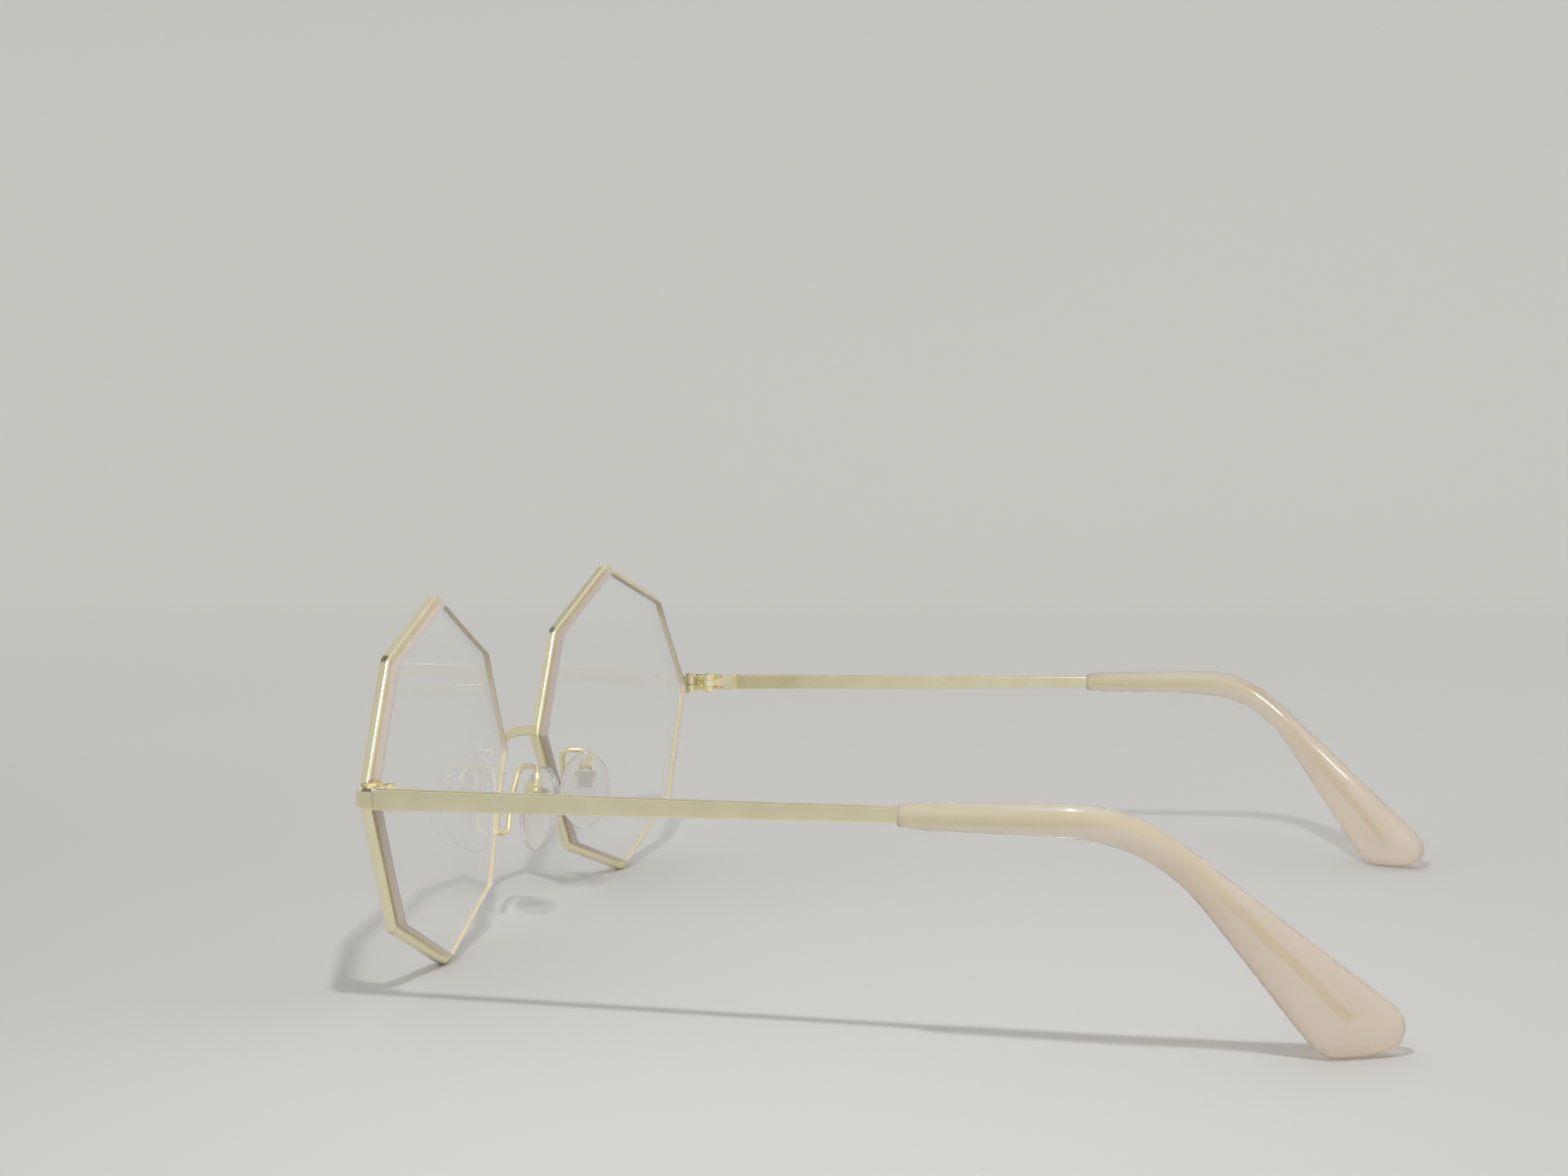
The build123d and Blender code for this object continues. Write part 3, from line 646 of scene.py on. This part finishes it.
def tipThickness(back, reach):
    # half the sleeve's thickness: it grows up to the bend and again down to the paddle's end
    shape = tipShape
    bend = shape["bend"] - shape["inwardAhead"]
    gain = (shape["endThickness"] - shape["startThickness"]) / 4
    if back < bend:
        return shape["startThickness"] / 2 + (back - shape["start"]) / (bend - shape["start"]) * gain
    return shape["startThickness"] / 2 + gain + (back - bend) / (reach - bend) * gain


def makeTips():
    shape = tipShape
    upper, lower, outline = tipRails()
    splay = radians(shape["splay"])
    reach = max(point.x for point in outline)
    steps = tipRings["sideSteps"]
    rings = []
    for place, (top, bottom) in enumerate(zip(upper, lower)):
        height = (top - bottom).length
        roll = min(shape["edgeRound"], height * shape["edgeRoundMost"])
        outer, inner = [], []
        for step in range(steps + 1):
            share = (1 - cos(pi * step / steps)) / 2
            point = bottom.lerp(top, share)
            back = point.x
            thick = tipThickness(back, reach)
            inside = min(outlineDistance(point, outline) / roll, 1.0)
            crown = 1 - shape["crown"] * (2 * share - 1) ** 2
            half = thick * sqrt(max(0.0, 1 - (1 - inside) ** 2)) * crown
            if place == 0:
                middle = (top + bottom) / 2
                point = middle + (point - middle) * (1 - shape["frontRound"] / height * 2)
                half *= 1 - shape["frontRound"] / thick
            out, angle = tipMiddle(back)
            for row, face in ((outer, 1), (inner, -1)):
                x = out + face * half * cos(angle)
                y = back + face * half * sin(angle)
                across = x * cos(splay) + y * sin(splay)
                along = y * cos(splay) - x * sin(splay)
                row.append(Vector((across, along, point.y)) + hingePlace)
        rings.append(outer + inner[-2:0:-1])
    rings = list(zip(*[eased(list(column), tipRings["sideEasing"]) for column in zip(*rings)]))
    for name, side in sides.items():
        mirrored = [sideways(ring, side) for ring in rings]
        ringPiece(name + "_tip_sleeve", mirrored, finishes["acetate"],
                  name + "_temple_body", name + "_temple_tip")


# Lenses, mm
lensShape = {
    "wrap": 5.7,                # degrees
    "halfWidth": 27.9,
    "halfHeight": 27.0,
    "cornerShares": [(-0.055, 1.0), (0.645, 0.735), (1.0, 0.1), (0.71, -0.66),
                     (0.03, -1.0), (-0.655, -0.735), (-1.0, 0.02), (-0.735, 0.645)],
    "cornerRadius": 2.3,
    "rimWidth": 1.27,           # rim wire and the fit of the lens in it
    "rimDepth": 1.5,
    "frontProud": 0.25,
    "backProud": 1.2,
    "frontRadius": 900.0,
    "backRadius": 450.0,
    "safetyBevel": 0.18,
    "grooveDepth": 0.48,
    "grooveHalfWidth": 0.43,
    "cornerSteps": 6,
    "sideSteps": 10,
    "rings": [0.06, 0.2, 0.36, 0.52, 0.68, 0.82, 0.93],    # of each face, as shares of its outline
}


def lensOutline(inset):
    # the rim's outline drawn in by inset, in the plane of the lens: x outwards, y up
    shape = lensShape
    corners = [Vector((u * shape["halfWidth"], v * shape["halfHeight"])) for u, v in shape["cornerShares"]]
    moved = []
    for index, corner in enumerate(corners):
        before = (corners[index - 1] - corner).normalized()
        after = (corners[(index + 1) % len(corners)] - corner).normalized()
        half = before.angle(after) / 2
        moved.append(corner + (before + after).normalized() * inset / sin(half))
    radius = max(shape["cornerRadius"] - inset, 0.05)
    arcs = roundedOutline(moved, [radius] * len(moved), shape["cornerSteps"], True)
    points = []
    for index, arc in enumerate(arcs):
        points += arc[:-1] + spread([arc[-1], arcs[(index + 1) % len(arcs)][0]], shape["sideSteps"])
    return points


def lensRings():
    # rings of (point, depth): front from its middle out, the edge with its ridge, back from its edge in
    shape = lensShape
    bevel, groove, rimBack = shape["safetyBevel"], shape["grooveHalfWidth"], -shape["rimDepth"] / 2
    wide = lensOutline(shape["rimWidth"])
    drawn = lensOutline(shape["rimWidth"] + bevel)
    ridge = lensOutline(shape["rimWidth"] - shape["grooveDepth"])

    def domed(outline, radius, edge, share=1.0, lift=0.0):
        rim = sqrt(radius ** 2 - shape["halfHeight"] ** 2)
        scaled = [point * share for point in outline]
        return [(point, edge - rim + sqrt(radius ** 2 - point.length_squared) + lift) for point in scaled]

    def level(outline, depth):
        return [(point, depth) for point in outline]

    front = (shape["frontRadius"], shape["rimDepth"] / 2 + shape["frontProud"])
    back = (shape["backRadius"], rimBack - shape["backProud"])
    rings = [domed(drawn, *front, share) for share in shape["rings"]]
    rings += [domed(drawn, *front), domed(wide, *front, lift=-bevel)]
    rings += [level(wide, groove), level(ridge, 0.0), level(wide, -groove), level(wide, rimBack)]
    rings += [domed(wide, *back, lift=bevel), domed(drawn, *back)]
    rings += [domed(drawn, *back, share) for share in reversed(shape["rings"])]
    return rings


def makeLenses():
    wrap = radians(lensShape["wrap"])
    outwards = Vector((cos(wrap), sin(wrap), 0))
    forwards = Vector((sin(wrap), -cos(wrap), 0))
    flat = lensRings()
    edge = len(lensShape["rings"])       # the first of the edge's seven bands
    frosted = (edge, edge + 5, edge + 6)
    # where the rim holds the lens, the edge faces are painted with the rim's gold: a painted reflection of the rim
    # seen through the lens
    paintedRim = range(edge + 1, edge + 5)
    rings = []
    for ring in flat:
        placed = [outwards * at.x + Vector((0, 0, at.y)) + forwards * depth for at, depth in ring]
        rings.append([lensCentre + point for point in placed])
    for name, side in sides.items():
        mirrored = [sideways(ring, side) for ring in rings]
        piece = ringPiece(name + "_lens_glazing", mirrored, finishes["lens"],
                          "front", name + "_lens", sharp=range(edge, edge + 8))
        piece.data.materials.append(groundEdge)
        piece.data.materials.append(paintedRimEdgeMaterial)
        for face in piece.data.polygons:
            band = face.index // len(flat[0])
            if band in frosted:
                face.material_index = 1
            elif band in paintedRim:
                face.material_index = 2


# Nose pads, mm
padShape = {
    "splay": 22.0,              # degrees
    "lean": 10.0,
    "tilt": 5.0,
    "length": 13.3,
    "width": 8.0,
    "thickness": 2.2,
    "noseRadius": 30.0,
    "backRadius": 45.0,
    "edgeRoll": 0.75,
    "pivotAbove": 2.8,
    "pivotBehind": 1.0,
    "insets": [3.6, 2.9, 2.1, 1.3],            # rings of each face, drawn in from its edge
    "rollAngles": (90, 72, 54, 36, 18, 0),     # and rings of the rolled edge
    "steps": 72,
}


def padRing(inset, face):
    # one ring as (forwards, upwards, out of the face); face is 1 towards the nose and -1 away from it
    shape = padShape
    half = shape["thickness"] / 2
    radius, other = shape["noseRadius"], shape["backRadius"]
    if face < 0:
        radius, other = other, radius
    ring = []
    for step in range(shape["steps"]):
        angle = 2 * pi * step / shape["steps"]
        x = (shape["width"] / 2 - inset) * cos(angle)
        y = (shape["length"] / 2 - inset) * sin(angle)
        depth = half - radius + sqrt(radius ** 2 - x ** 2 - y ** 2)
        if inset < shape["edgeRoll"]:
            rollDepth = 1 - inset / shape["edgeRoll"]
            otherDepth = half - other + sqrt(other ** 2 - x ** 2 - y ** 2)
            edge = (depth - otherDepth) / 2
            depth = edge + (depth - edge) * sqrt(max(0.0, 1 - rollDepth ** 2))
        ring.append((x, y, face * depth))
    return ring


def makePads():
    shape = padShape
    splay, lean, tilt = [radians(shape[name]) for name in ("splay", "lean", "tilt")]
    level = Vector((-sin(splay), -cos(splay), 0))
    noseward = Vector((-cos(splay) * cos(lean), sin(splay) * cos(lean), -sin(lean)))
    forwards = level * cos(tilt) + noseward.cross(level) * sin(tilt)
    upwards = noseward.cross(forwards)
    behind = shape["thickness"] / 2 + shape["pivotBehind"]
    centre = padPivot - upwards * shape["pivotAbove"] + noseward * behind
    rolls = [1 - cos(radians(angle)) for angle in shape["rollAngles"]]
    insets = shape["insets"] + [shape["edgeRoll"] * roll for roll in rolls]
    flat = [padRing(inset, 1) for inset in insets] + [padRing(inset, -1) for inset in insets[-2::-1]]
    rings = []
    for ring in flat:
        rings.append([centre + forwards * x + upwards * y + noseward * depth for x, y, depth in ring])
    for name, side in sides.items():
        mirrored = [sideways(ring, side) for ring in rings]
        ringPiece(name + "_pad_cushion", mirrored, finishes["silicone"],
                  name + "_pad_body", name + "_nose_pad")


slotOfNode = {part["node"]: part["material_slot"] for part in frame["record"]["subparts"]}
for name, node in frame["nodes"].items():
    node.data.materials.clear()
    node.data.materials.append(finishes[slotOfNode[name]])
print("finishes given to", len(frame["nodes"]), "nodes")

makeTips()
makeLenses()
makePads()
print("tips, lenses and pads made")
